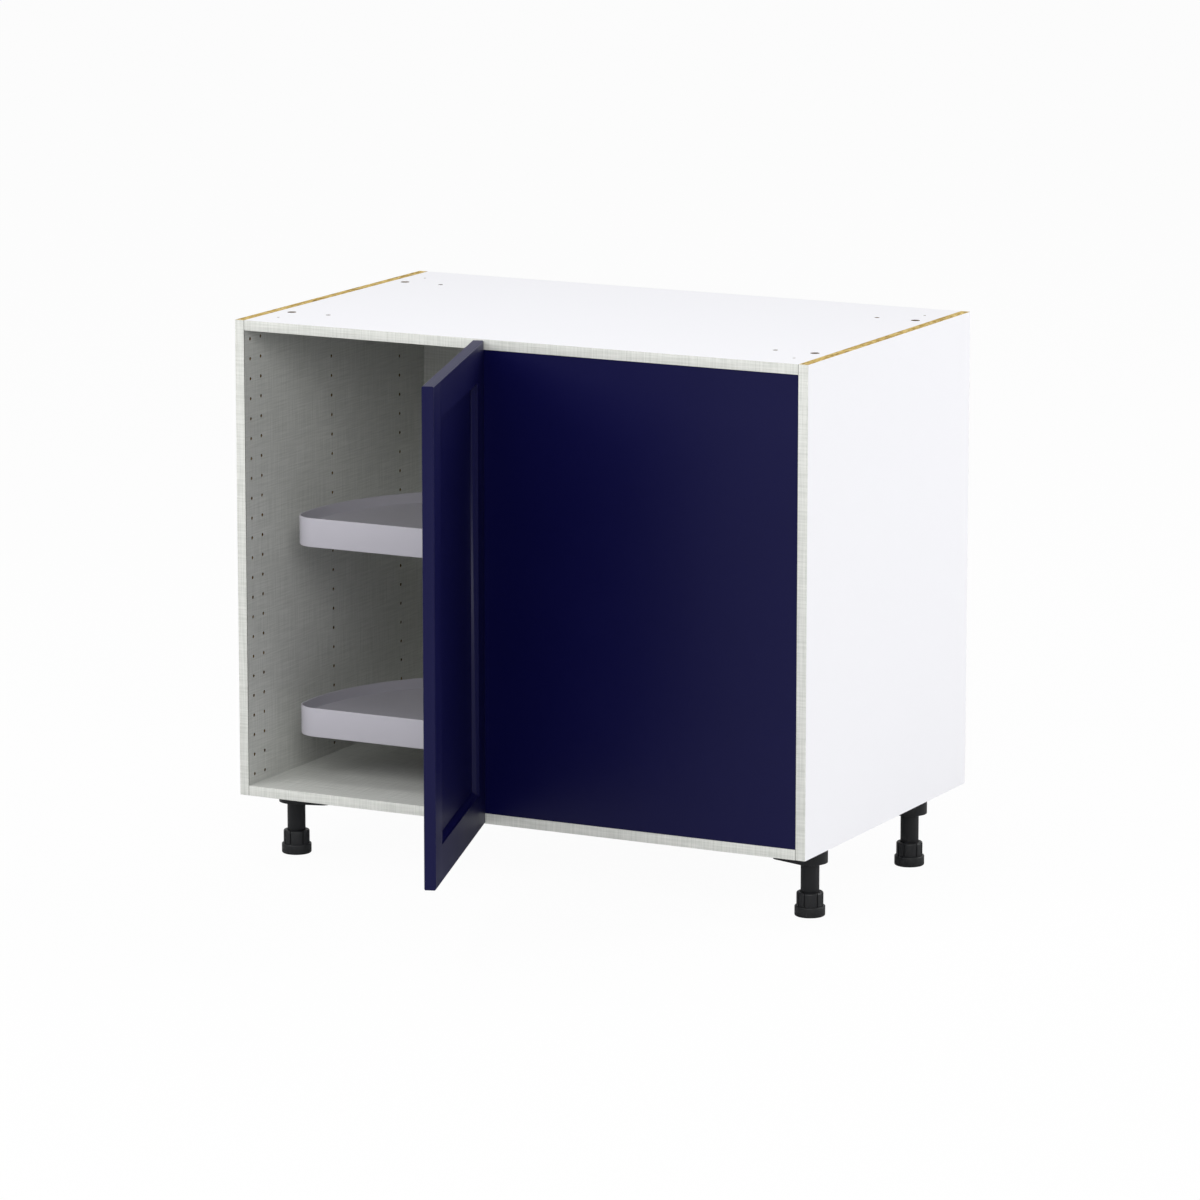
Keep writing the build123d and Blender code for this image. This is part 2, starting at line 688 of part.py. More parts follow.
# Collar screws: radial set screws that bear on the post
with BuildPart() as collar_screws:
    for base_z in tray_heights:
        with BuildSketch(Plane.XZ.offset(-(post_y - collar_diameter / 2))):
            with Locations((post_x, base_z - hub_seat_gap - collar_height / 2)):
                RegularPolygon(collar_screw / 2, small_sides)
        extrude(amount=-(collar_diameter - post_diameter) / 2)
collar_screws.part.label = "collar_screws"
export_step(collar_screws.part, "parts/collar_screws.step")

# Wood screws: each seat plane lies on the fixed piece with its Z pointing the way the screw goes in
bracket_seats = []
for x in bracket_xs:
    for z, up in ((bottom_top, 1), (top_underside, -1)):
        foot_of_screw = (x, blind_back_y + bracket_screw_reach, z + up * bracket_steel)
        bracket_seats.append(Plane(origin=foot_of_screw, z_dir=(0, 0, -up)))
        back_of_panel = (x, blind_back_y + bracket_steel, z + up * bracket_screw_reach)
        bracket_seats.append(Plane(origin=back_of_panel, z_dir=(0, -1, 0)))
ear_x = cup_x + cup_screw_offset
ear_y = -pivot_depth - cup_flange
ear_heights = [z + hand * cup_screw_spacing / 2 for z in hinge_heights for hand in (-1, 1)]
ear_seats = [
    Plane(origin=door_axes.from_local_coords((ear_x, ear_y, z)), z_dir=door_axes.y_dir)
    for z in ear_heights
]
plate_heights = [z + hand * hinge_plate_spacing / 2 for z in hinge_heights for hand in (-1, 1)]
plate_seats = [Plane(origin=(plate_x, plate_back_y, z), z_dir=(0, -1, 0)) for z in plate_heights]
socket_offset = bearing_screw_pcd / 2 * sin(radians(45))
socket_seats = [
    Plane(
        origin=(post_x + right * socket_offset, post_y + back * socket_offset, face_z),
        z_dir=(0, 0, into),
    )
    for face_z, into in (
        (bottom_top + bearing_plate_thickness, -1),
        (top_underside - bearing_plate_thickness, 1),
    )
    for right in (-1, 1)
    for back in (-1, 1)
]
foot_seats = []
for x, y, inward in foot_places.values():
    for seat_x, seat_y in ((x, y - foot_screw_radius), (x + inward * wing_span, y)):
        foot_seats.append(Plane(origin=(seat_x, seat_y, box_bottom - foot_bracket_plate), z_dir=(0, 0, 1)))

screw_groups = {
    "panel_bracket_screws": bracket_seats,
    "hinge_cup_screws": ear_seats,
    "hinge_plate_screws": plate_seats,
    "post_socket_screws": socket_seats,
    "foot_bracket_screws": foot_seats,
}
for name, seats in screw_groups.items():
    with BuildPart() as screws:
        for seat in seats:
            with BuildSketch(seat):
                RegularPolygon(screw_head / 2, small_sides)
            extrude(amount=-screw_head_height)
            with BuildSketch(seat):
                RegularPolygon(screw_shank / 2, hidden_sides)
            extrude(amount=screw_length)
    screws.part.label = name
    export_step(screws.part, f"parts/{name}.step")

# Arm screws: short machine screws that clamp each arm on its plate
with BuildPart() as hinge_arm_screws:
    for z in hinge_heights:
        with BuildSketch(Plane.XZ.offset(-(plate_back_y + arm_steel))):
            with Locations((plate_x, z)):
                RegularPolygon(screw_head / 2, small_sides)
        extrude(amount=-screw_head_height)
        with BuildSketch(Plane.XZ.offset(-(plate_back_y + arm_steel))):
            with Locations((plate_x, z)):
                RegularPolygon(arm_screw / 2, hidden_sides)
        extrude(amount=arm_steel + hinge_plate_thickness)
hinge_arm_screws.part.label = "hinge_arm_screws"
export_step(hinge_arm_screws.part, "parts/hinge_arm_screws.step")
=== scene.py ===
import json
from math import cos, pi, radians, sin, sqrt

import bmesh
import bpy
from mathutils import Matrix, Vector


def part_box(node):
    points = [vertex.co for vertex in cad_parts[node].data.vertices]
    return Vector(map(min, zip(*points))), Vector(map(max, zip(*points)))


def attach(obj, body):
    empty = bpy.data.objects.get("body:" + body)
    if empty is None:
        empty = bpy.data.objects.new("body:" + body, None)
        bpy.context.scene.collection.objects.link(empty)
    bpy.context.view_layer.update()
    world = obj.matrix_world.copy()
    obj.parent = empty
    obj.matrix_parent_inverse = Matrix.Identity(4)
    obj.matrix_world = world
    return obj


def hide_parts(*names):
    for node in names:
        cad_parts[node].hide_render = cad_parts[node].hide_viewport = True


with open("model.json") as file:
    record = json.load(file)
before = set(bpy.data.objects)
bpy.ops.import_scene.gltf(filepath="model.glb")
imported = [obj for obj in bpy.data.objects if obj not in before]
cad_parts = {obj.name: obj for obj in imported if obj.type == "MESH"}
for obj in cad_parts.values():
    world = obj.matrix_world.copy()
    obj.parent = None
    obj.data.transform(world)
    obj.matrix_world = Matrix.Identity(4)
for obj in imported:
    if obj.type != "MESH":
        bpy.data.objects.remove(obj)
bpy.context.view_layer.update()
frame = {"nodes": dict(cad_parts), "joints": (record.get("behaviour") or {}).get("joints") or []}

# Camera. A long lens to the right of the cabinet and above it, so that the front, the right side
# and the top all show, and the near and far edges run almost parallel.
tilt_down = 11.234
turn_left = 27.122
camera_data = bpy.data.cameras.new("camera")
camera_data.lens = 186.78
camera_data.sensor_width = 36.0
camera_data.clip_end = 60.0
camera = bpy.data.objects.new("camera", camera_data)
camera.location = (4.4062, -8.4032, 2.3432)
camera.rotation_euler = (radians(90.0 - tilt_down), 0.0, radians(turn_left))
bpy.context.scene.collection.objects.link(camera)
bpy.context.scene.camera = camera


# Studio. Seamless pale paper that keeps the soft shadow of the cabinet, a white surround, and large
# soft lamps: three high in front that reach into the cupboard, one above, one right, one behind.
def add_node(tree, kind, inputs=None, **settings):
    """Adds a node, sets its settings, and sets or links its inputs."""
    node = tree.nodes.new(kind)
    for key, value in settings.items():
        setattr(node, key, value)
    for key, value in (inputs or {}).items():
        if isinstance(value, bpy.types.NodeSocket):
            tree.links.new(value, node.inputs[key])
        else:
            node.inputs[key].default_value = value
    return node


def linear(hex_colour):
    """The linear colour of an sRGB hex value."""
    colour = []
    for start in (1, 3, 5):
        part = int(hex_colour[start : start + 2], 16) / 255
        colour.append(part / 12.92 if part <= 0.04045 else ((part + 0.055) / 1.055) ** 2.4)
    return colour + [1.0]


def new_material(name):
    """An empty node material, with its tree and its output."""
    material = bpy.data.materials.new(name)
    material.use_nodes = True
    tree = material.node_tree
    tree.nodes.clear()
    return material, tree, tree.nodes.new("ShaderNodeOutputMaterial")


def seen_directly(tree, eye_share, gloss_share):
    """One share where the eye sees the surround, one where a gloss or clear piece does, 0 for its light."""
    path = add_node(tree, "ShaderNodeLightPath")
    through = add_node(
        tree,
        "ShaderNodeMath",
        {0: path.outputs["Is Glossy Ray"], 1: path.outputs["Is Transmission Ray"]},
        operation="MAXIMUM",
    )
    mirrored = {0: through.outputs[0], 1: gloss_share}
    gloss = add_node(tree, "ShaderNodeMath", mirrored, operation="MULTIPLY")
    looked_at = {0: path.outputs["Is Camera Ray"], 1: eye_share}
    eye = add_node(tree, "ShaderNodeMath", looked_at, operation="MULTIPLY")
    either = {0: eye.outputs[0], 1: gloss.outputs[0]}
    return add_node(tree, "ShaderNodeMath", either, operation="MAXIMUM").outputs[0]


# The paper lies just under the feet. It is darker where a glossy piece mirrors it, because brighter
# paper turns the low parts of the lacquer grey.
paper_drop = 0.0005
bpy.ops.object.select_all(action="DESELECT")
bpy.ops.mesh.primitive_plane_add(size=60.0, location=(0.0, 0.0, -paper_drop))
studio_floor = bpy.context.object
studio_floor.name = "studio_floor"
material, tree, output = new_material("matt white studio paper")
glossy_ray = add_node(tree, "ShaderNodeLightPath").outputs["Is Glossy Ray"]
paper_tones = {0: glossy_ray, 6: linear("#e4e4e4"), 7: linear("#a6a6a6")}
paper_shade = add_node(tree, "ShaderNodeMix", paper_tones, data_type="RGBA").outputs[2]
paper = add_node(tree, "ShaderNodeBsdfDiffuse", {"Color": paper_shade})
white_paper = add_node(tree, "ShaderNodeEmission", {"Color": (1.0, 1.0, 1.0, 1.0), "Strength": 1.0})
white_share = seen_directly(tree, eye_share=0.96, gloss_share=0.04)
floor_look = add_node(
    tree,
    "ShaderNodeMixShader",
    {0: white_share, 1: paper.outputs[0], 2: white_paper.outputs[0]},
)
tree.links.new(floor_look.outputs[0], output.inputs["Surface"])
studio_floor.data.materials.append(material)

world = bpy.data.worlds.new("studio")
world.use_nodes = True
tree = world.node_tree
tree.nodes.clear()
surround = add_node(tree, "ShaderNodeBackground", {"Color": (0.985, 0.985, 1.0, 1.0), "Strength": 0.4})
white_surround = add_node(tree, "ShaderNodeBackground", {"Color": (1.0, 1.0, 1.0, 1.0), "Strength": 1.0})
white_share = seen_directly(tree, eye_share=1.0, gloss_share=0.25)
world_look = add_node(
    tree,
    "ShaderNodeMixShader",
    {0: white_share, 1: surround.outputs[0], 2: white_surround.outputs[0]},
)
add_node(tree, "ShaderNodeOutputWorld", {"Surface": world_look.outputs[0]})
bpy.context.scene.world = world
bpy.context.scene.view_settings.view_transform = "Standard"


def soft_lamp(name, place, aim, size, power):
    """A square soft lamp at a place, aimed at a point, with its side in metres and power in watts."""
    lamp_data = bpy.data.lights.new(name, "AREA")
    lamp_data.size = size
    lamp_data.energy = power
    lamp = bpy.data.objects.new(name, lamp_data)
    lamp.location = place
    lamp.rotation_euler = (Vector(aim) - Vector(place)).to_track_quat("-Z", "Y").to_euler()
    bpy.context.scene.collection.objects.link(lamp)


soft_lamp("front_lamp", (-0.4, -4.6, 3.6), (-0.2, 0.0, 0.4), 2.4, 38.0)
soft_lamp("front_right_lamp", (2.6, -4.4, 3.0), (-0.2, 0.0, 0.4), 2.4, 97.0)
soft_lamp("front_left_lamp", (-2.8, -4.2, 3.0), (0.0, 0.0, 0.5), 2.4, 74.0)
soft_lamp("right_lamp", (4.6, 2.4, 2.2), (0.4, 0.3, 0.5), 2.6, 103.0)
soft_lamp("top_lamp", (-0.6, -0.4, 4.6), (-0.1, 0.2, 0.8), 2.6, 56.0)
soft_lamp("rear_lamp", (1.8, 5.4, 3.2), (-0.2, 0.3, 0.5), 2.6, 42.0)


# Boards. The two sides, the top, the bottom and the back are 16 mm particleboard faced with melamine:
# plain white outside and a pale grey linen print inside. The sides' cut edges show the golden chips.
def chip_core(tree, coordinates, axis):
    """Colour and height of bare particleboard: flat golden chips 10 mm long and 2.5 mm thick.

    Real chips are a third of this, too fine to show in the render.
    """
    chip_length = 0.01
    chip_thickness = 0.0025
    scales = [1 / chip_thickness if letter == axis else 1 / chip_length for letter in "XYZ"]
    stretched = add_node(tree, "ShaderNodeMapping", {"Vector": coordinates, "Scale": scales})
    chips = add_node(tree, "ShaderNodeTexVoronoi", {"Vector": stretched.outputs[0], "Scale": 1.0})
    shades = add_node(tree, "ShaderNodeValToRGB", {"Fac": chips.outputs["Color"]})
    shades.color_ramp.elements[0].color = linear("#5e4519")
    shades.color_ramp.elements[1].color = linear("#decb92")
    for place, shade in ((0.2, "#94762f"), (0.42, "#b99c52"), (0.7, "#cbb06a")):
        shades.color_ramp.elements.new(place).color = linear(shade)
    return shades.outputs[0], chips.outputs["Distance"]


def at_border(tree, coordinates, board, axis):
    """A mask of the board's cut borders, which leaves out the walls of the holes drilled in it."""
    reach = 0.0004
    apart = add_node(tree, "ShaderNodeSeparateXYZ", {0: coordinates})
    mask = 0.0
    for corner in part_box(board):
        for letter, place in zip("XYZ", corner):
            if letter != axis:
                border = {0: apart.outputs[letter], 1: place, 2: reach}
                near = add_node(tree, "ShaderNodeMath", border, operation="COMPARE").outputs[0]
                either = {0: mask, 1: near}
                mask = add_node(tree, "ShaderNodeMath", either, operation="MAXIMUM").outputs[0]
    return mask


def linen_print(tree, coordinates, axis):
    """Colour and height of the linen print: fine threads both ways, about 2 mm apart and 60 mm long."""
    threads_across = 430.0
    threads_along = 15.0
    contrast = 0.26
    heights = []
    for long_way in [letter for letter in "XYZ" if letter != axis]:
        scales = [threads_along if letter == long_way else threads_across for letter in "XYZ"]
        threads = add_node(tree, "ShaderNodeMapping", {"Vector": coordinates, "Scale": scales})
        noise = {"Vector": threads.outputs[0], "Scale": 1.0, "Detail": 2.5}
        heights.append(add_node(tree, "ShaderNodeTexNoise", noise).outputs["Fac"])
    woven = add_node(tree, "ShaderNodeMath", {0: heights[0], 1: heights[1]}, operation="ADD")
    weave = {"Value": woven.outputs[0], "From Min": 1.0 - contrast, "From Max": 1.0 + contrast}
    spread = add_node(tree, "ShaderNodeMapRange", weave)
    shades = add_node(tree, "ShaderNodeValToRGB", {"Fac": spread.outputs[0]})
    shades.color_ramp.elements[0].color = linear("#c8cac4")
    shades.color_ramp.elements[1].color = linear("#dedfda")
    return shades.outputs[0], woven.outputs[0]


def faced_board(board, axis, linen_face, white_face):
    """Melamine-faced particleboard whose two faces lie at these places along an axis, in metres."""
    skin = 0.0002
    hole_shade = 0.8
    material, tree, output = new_material(f"melamine on particleboard, {board}")
    coordinates = add_node(tree, "ShaderNodeTexCoord").outputs["Object"]
    place = add_node(tree, "ShaderNodeSeparateXYZ", {0: coordinates}).outputs[axis]
    inside = {0: place, 1: linen_face, 2: skin}
    on_linen = add_node(tree, "ShaderNodeMath", inside, operation="COMPARE").outputs[0]
    outside = {0: place, 1: white_face, 2: skin}
    on_white = add_node(tree, "ShaderNodeMath", outside, operation="COMPARE").outputs[0]

    # Painted shade: inside the drilled holes the bare core is multiplied by a dark brown, for the little light
    # that reaches into them.
    sawn, chips = chip_core(tree, coordinates, axis)
    shaded = {0: hole_shade, 6: sawn, 7: linear("#5a4018")}
    drilled = add_node(tree, "ShaderNodeMix", shaded, data_type="RGBA", blend_type="MULTIPLY")
    bare = {0: at_border(tree, coordinates, board, axis), 6: drilled.outputs[2], 7: sawn}
    core = add_node(tree, "ShaderNodeMix", bare, data_type="RGBA").outputs[2]
    linen, threads = linen_print(tree, coordinates, axis)
    pearl = add_node(tree, "ShaderNodeTexNoise", {"Vector": coordinates, "Scale": 1300.0, "Detail": 1.0})
    white = add_node(tree, "ShaderNodeValToRGB", {"Fac": pearl.outputs["Fac"]})
    white.color_ramp.elements[0].color = linear("#f0f0f4")
    white.color_ramp.elements[1].color = linear("#f6f6f9")

    linen_over_core = {0: on_linen, 6: core, 7: linen}
    with_linen = add_node(tree, "ShaderNodeMix", linen_over_core, data_type="RGBA").outputs[2]
    white_over_both = {0: on_white, 6: with_linen, 7: white.outputs[0]}
    colour = add_node(tree, "ShaderNodeMix", white_over_both, data_type="RGBA").outputs[2]
    threads_over_chips = {0: on_linen, 2: chips, 3: threads}
    with_threads = add_node(tree, "ShaderNodeMix", threads_over_chips, data_type="FLOAT")
    pearl_over_both = {0: on_white, 2: with_threads.outputs[0], 3: pearl.outputs["Fac"]}
    height = add_node(tree, "ShaderNodeMix", pearl_over_both, data_type="FLOAT").outputs[0]
    faced = add_node(tree, "ShaderNodeMath", {0: on_linen, 1: on_white}, operation="ADD").outputs[0]
    dullness = add_node(tree, "ShaderNodeMapRange", {"Value": faced, "To Min": 0.9, "To Max": 0.42})
    relief = add_node(tree, "ShaderNodeBump", {"Height": height, "Strength": 0.12, "Distance": 0.0001})
    surface = add_node(
        tree,
        "ShaderNodeBsdfPrincipled",
        {"Base Color": colour, "Roughness": dullness.outputs[0], "Normal": relief.outputs[0]},
    )
    surface.inputs["Specular IOR Level"].default_value = 0.35
    tree.links.new(surface.outputs[0], output.inputs["Surface"])
    return material


def dress(material, *names):
    """Gives CAD nodes their finish."""
    for name in names:
        frame["nodes"][name].material_slots[0].material = material


for board, axis, linen_end, white_end in (
    ("side_left", "X", 1, 0),
    ("side_right", "X", 0, 1),
    ("top_panel", "Z", 0, 1),
    ("bottom_panel", "Z", 1, 0),
    ("back_panel", "Y", 0, 1),
):
    ends = [corner["XYZ".index(axis)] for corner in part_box(board)]
    dress(faced_board(board, axis, ends[linen_end], ends[white_end]), board)


# Edge banding. A 1 mm plastic strip glued to the front edge of each board, printed with the same
# linen as the inside. The ends meet square, and a thin line of glue shows in each joint.
tolerance = 0.0001
sharp_angle = radians(30.0)


def open_primitive(kind, name, **settings):
    """Adds a primitive, puts its place and size into its mesh, and opens it in edit mode."""
    bpy.ops.object.select_all(action="DESELECT")
    getattr(bpy.ops.mesh, f"primitive_{kind}_add")(**settings)
    bpy.context.object.name = name
    bpy.ops.object.transform_apply(location=True, rotation=True, scale=True)
    bpy.ops.object.mode_set(mode="EDIT")


def pick(kind, test):
    """In edit mode, selects only the faces or edges whose middle and direction pass a test."""
    bpy.ops.mesh.select_mode(type=kind)
    bpy.ops.mesh.select_all(action="DESELECT")
    mesh = bmesh.from_edit_mesh(bpy.context.edit_object.data)
    if kind == "FACE":
        chosen = [face for face in mesh.faces if test(face.calc_center_median(), face.normal)]
    else:
        chosen = []
        for edge in mesh.edges:
            start, end = [corner.co for corner in edge.verts]
            if test((start + end) / 2, (end - start).normalized()):
                chosen.append(edge)
    for part in chosen:
        part.select_set(True)
    mesh.select_flush_mode()
    bmesh.update_edit_mesh(bpy.context.edit_object.data)


def push(way):
    """Extrudes what is selected by a distance and direction."""
    bpy.ops.mesh.extrude_region_move(TRANSFORM_OT_translate={"value": way})


def ease(width, steps):
    """Rounds the selected edges."""
    bpy.ops.mesh.bevel(offset=width, segments=steps, affect="EDGES")


def close():
    """Leaves edit mode and smooths all but the sharp edges."""
    bpy.ops.object.mode_set(mode="OBJECT")
    bpy.ops.object.shade_smooth_by_angle(angle=sharp_angle)
    return bpy.context.object


def join(pieces, name):
    """Joins pieces into one object."""
    bpy.ops.object.select_all(action="DESELECT")
    for piece in pieces:
        piece.select_set(True)
    bpy.context.view_layer.objects.active = pieces[0]
    if len(pieces) > 1:
        bpy.ops.object.join()
    bpy.context.object.name = name
    return bpy.context.object


def fit(piece, body, slot, material, *nodes):
    """Gives a piece its finish, the body that it rides on and the CAD nodes that it stands for."""
    piece.data.materials.clear()
    piece.data.materials.append(material)
    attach(piece, body)
    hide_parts(*nodes)


glue_reach = 0.00035
inner_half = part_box("side_right")[0].x
inner_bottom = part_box("bottom_panel")[1].z
inner_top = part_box("top_panel")[0].z
material, tree, output = new_material("linen-printed edge banding")
coordinates = add_node(tree, "ShaderNodeTexCoord").outputs["Object"]
linen, threads = linen_print(tree, coordinates, "Y")
across = add_node(tree, "ShaderNodeSeparateXYZ", {0: coordinates}).outputs["X"]
from_middle = add_node(tree, "ShaderNodeMath", {0: across}, operation="ABSOLUTE").outputs[0]
seam = {0: from_middle, 1: inner_half, 2: glue_reach}
in_seam = add_node(tree, "ShaderNodeMath", seam, operation="COMPARE").outputs[0]
glue_over_linen = {0: in_seam, 6: linen, 7: linear("#4c4a44")}
glued = add_node(tree, "ShaderNodeMix", glue_over_linen, data_type="RGBA").outputs[2]
relief = add_node(tree, "ShaderNodeBump", {"Height": threads, "Strength": 0.12, "Distance": 0.0001})
surface = add_node(
    tree,
    "ShaderNodeBsdfPrincipled",
    {"Base Color": glued, "Roughness": 0.5, "Normal": relief.outputs[0]},
)
surface.inputs["Specular IOR Level"].default_value = 0.3
tree.links.new(surface.outputs[0], output.inputs["Surface"])

bands_low, bands_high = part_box("front_edge_bands")
strips = []
for name, left, right, bottom, top in (
    ("left_band", bands_low.x, -inner_half, bands_low.z, bands_high.z),
    ("right_band", inner_half, bands_high.x, bands_low.z, bands_high.z),
    ("bottom_band", -inner_half, inner_half, bands_low.z, inner_bottom),
    ("top_band", -inner_half, inner_half, inner_top, bands_high.z),
):
    open_primitive(
        "cube",
        name,
        size=1.0,
        location=((left + right) / 2, (bands_low.y + bands_high.y) / 2, (bottom + top) / 2),
        scale=(right - left, bands_high.y - bands_low.y, top - bottom),
    )
    pick("EDGE", lambda at, way: at.y < bands_low.y + tolerance)
    ease(0.0003, 2)
    strips.append(close())
fit(join(strips, "edge_bands"), "cabinet", "linen_edge", material, "front_edge_bands")


# Cam locks. Die-cast zinc discs with a raised rim and a cross slot, turned in their bores to draw
# the joints tight. Their dark brownish grey is partly dull cast zinc and partly painted shade of the bores.
def metal(name, shade, roughness, grain, spread):
    """Bare or plated metal with a fine mottle, in patches a metre, and a spread in its dullness."""
    darkest = 0.78
    material, tree, output = new_material(name)
    coordinates = add_node(tree, "ShaderNodeTexCoord").outputs["Object"]
    patches = {"Vector": coordinates, "Scale": grain, "Detail": 4.0}
    mottle = add_node(tree, "ShaderNodeTexNoise", patches).outputs["Fac"]
    tint = add_node(tree, "ShaderNodeValToRGB", {"Fac": mottle})
    tint.color_ramp.elements[0].color = [part * darkest for part in linear(shade)[:3]] + [1.0]
    tint.color_ramp.elements[1].color = linear(shade)
    dullness = add_node(
        tree,
        "ShaderNodeMapRange",
        {"Value": mottle, "To Min": roughness - spread, "To Max": roughness + spread},
    )
    relief = add_node(tree, "ShaderNodeBump", {"Height": mottle, "Strength": 0.1, "Distance": 0.00005})
    surface = add_node(
        tree,
        "ShaderNodeBsdfPrincipled",
        {
            "Base Color": tint.outputs[0],
            "Metallic": 1.0,
            "Roughness": dullness.outputs[0],
            "Normal": relief.outputs[0],
        },
    )
    tree.links.new(surface.outputs[0], output.inputs["Surface"])
    return material


def copied(piece, *moves):
    """Copies of a piece, each with its own mesh moved by a matrix. The first piece goes."""
    copies = []
    for move in moves:
        copy = bpy.data.objects.new(piece.name, piece.data.copy())
        copy.data.transform(move)
        bpy.context.scene.collection.objects.link(copy)
        copies.append(copy)
    bpy.data.objects.remove(piece)
    return copies


def cut_out(piece, tool, operation="DIFFERENCE"):
    """Cuts a tool's shape out of a piece, or adds it, and takes the tool away."""
    modifier = piece.modifiers.new("cut", "BOOLEAN")
    modifier.operation = operation
    modifier.object = tool
    modifier.solver = "EXACT"
    bpy.ops.object.select_all(action="DESELECT")
    piece.select_set(True)
    bpy.context.view_layer.objects.active = piece
    bpy.ops.object.modifier_apply(modifier=modifier.name)
    bpy.data.objects.remove(tool)


def cross_recess(piece, height, length, width, depth):
    """Cuts two crossed slots into the top of a piece."""
    for turn in (0.0, 90.0):
        open_primitive(
            "cube",
            "slot",
            size=1.0,
            location=(0, 0, height),
            rotation=(0, 0, radians(turn)),
            scale=(length, width, 2 * depth),
        )
        cut_out(piece, close())


def up(at, way):
    """A test for the faces that look up."""
    return way.z > 0.9


def ring(radius, height):
    """A test for the edges of a ring at a radius and height."""
    return lambda at, way: abs(at.z - height) < tolerance and abs(at.xy.length - radius) < 3 * tolerance


# Painted shade: the zinc is made a dark brownish grey, partly its own dull cast colour and partly the shade
# inside the bores.
zinc_with_painted_shade = metal("die-cast zinc", "#857c6e", 0.5, 700.0, 0.1)
cam_radius = 0.0074
cam_height = 0.011
cam_rim = 0.0011
rim_height = 0.0006
bolt_radius = 0.0035
bolt_height = 0.0045
open_primitive(
    "cylinder",
    "cam",
    vertices=40,
    radius=cam_radius,
    depth=cam_height,
    location=(0, 0, cam_height / 2),
)
pick("FACE", up)
bpy.ops.mesh.inset(thickness=cam_rim)
push((0, 0, -rim_height))
pick("EDGE", ring(cam_radius, cam_height))
ease(0.0003, 2)
cam = close()
cross_recess(cam, cam_height, length=0.0092, width=0.0016, depth=0.002)
open_primitive(
    "cylinder",
    "bolt_hole",
    vertices=24,
    radius=bolt_radius,
    depth=0.01,
    location=(cam_radius, 0, bolt_height),
    rotation=(0, radians(90), 0),
)
cut_out(cam, close())
cams_low, cams_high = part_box("cam_locks")
upside_down = Matrix.Rotation(pi, 4, "X")
cam_moves = []
for x, turn in ((cams_low.x + cam_radius, pi), (cams_high.x - cam_radius, 0.0)):
    towards_side = Matrix.Rotation(turn, 4, "Z")
    for y in (cams_low.y + cam_radius, cams_high.y - cam_radius):
        in_top = Matrix.Translation((x, y, cams_high.z - cam_height))
        in_bottom = Matrix.Translation((x, y, cams_low.z + cam_height)) @ upside_down
        cam_moves += [in_top @ towards_side, in_bottom @ towards_side]
fit(join(copied(cam, *cam_moves), "cams"), "cabinet", "die_cast_zinc", zinc_with_painted_shade, "cam_locks")


# Cam bolts and dowels. Zinc-plated steel bolts screwed into the sides, and beech pegs glued in the
# ends of the panels. Both are hidden once the boards are together.
zinc_plate = metal("bright zinc plate on steel", "#c3c4c1", 0.3, 450.0, 0.08)
dress(zinc_plate, "cam_bolts")

material, tree, output = new_material("beech dowel rod")
coordinates = add_node(tree, "ShaderNodeTexCoord").outputs["Object"]
lengthwise = add_node(tree, "ShaderNodeMapping", {"Vector": coordinates, "Scale": (60.0, 900.0, 900.0)})
pores = add_node(tree, "ShaderNodeTexNoise", {"Vector": lengthwise.outputs[0], "Scale": 1.0, "Detail": 4.0})
shades = add_node(tree, "ShaderNodeValToRGB", {"Fac": pores.outputs["Fac"]})
shades.color_ramp.elements[0].color = linear("#b98f5c")
shades.color_ramp.elements[1].color = linear("#dcbd8f")
surface = add_node(tree, "ShaderNodeBsdfPrincipled", {"Base Color": shades.outputs[0], "Roughness": 0.7})
tree.links.new(surface.outputs[0], output.inputs["Surface"])
dress(material, "wood_dowels")


# Blind panel. An 18 mm board sprayed with navy lacquer, whose smooth skin has a soft sheen and a
# very faint orange peel, about 3 mm from crest to crest. It is fixed from behind.
navy, tree, output = new_material("sprayed navy lacquer")
coordinates = add_node(tree, "ShaderNodeTexCoord").outputs["Object"]
peel = add_node(tree, "ShaderNodeTexNoise", {"Vector": coordinates, "Scale": 330.0, "Detail": 1.0})
drift = add_node(tree, "ShaderNodeTexNoise", {"Vector": coordinates, "Scale": 7.0, "Detail": 3.0})
tint = add_node(tree, "ShaderNodeValToRGB", {"Fac": drift.outputs["Fac"]})
tint.color_ramp.elements[0].color = linear("#030338")
tint.color_ramp.elements[1].color = linear("#04043c")
sheen = add_node(tree, "ShaderNodeMapRange", {"Value": drift.outputs["Fac"], "To Min": 0.37, "To Max": 0.43})
relief = add_node(tree, "ShaderNodeBump", {"Height": peel.outputs["Fac"], "Strength": 0.04, "Distance": 0.0001})
surface = add_node(
    tree,
    "ShaderNodeBsdfPrincipled",
    {"Base Color": tint.outputs[0], "Roughness": sheen.outputs[0], "Normal": relief.outputs[0]},
)
surface.inputs["Specular IOR Level"].default_value = 0.28
tree.links.new(surface.outputs[0], output.inputs["Surface"])
dress(navy, "blind_panel")


# Angle brackets. Pressed 2 mm steel, zinc-plated, with a rounded bend and broken edges. Two hold
# the blind panel to the bottom and two to the top, each with one screw a leg.
def reopened(node):
    """A copy of a CAD node with doubles merged and flat faces joined, open in edit mode."""
    piece = bpy.data.objects.new(f"{node}_piece", frame["nodes"][node].data.copy())
    bpy.context.scene.collection.objects.link(piece)
    bpy.ops.object.select_all(action="DESELECT")
    piece.select_set(True)
    bpy.context.view_layer.objects.active = piece
    bpy.ops.object.mode_set(mode="EDIT")
    bpy.ops.mesh.select_all(action="SELECT")
    bpy.ops.mesh.remove_doubles(threshold=0.00001)
    bpy.ops.mesh.dissolve_limited(angle_limit=radians(1.0))
    return piece


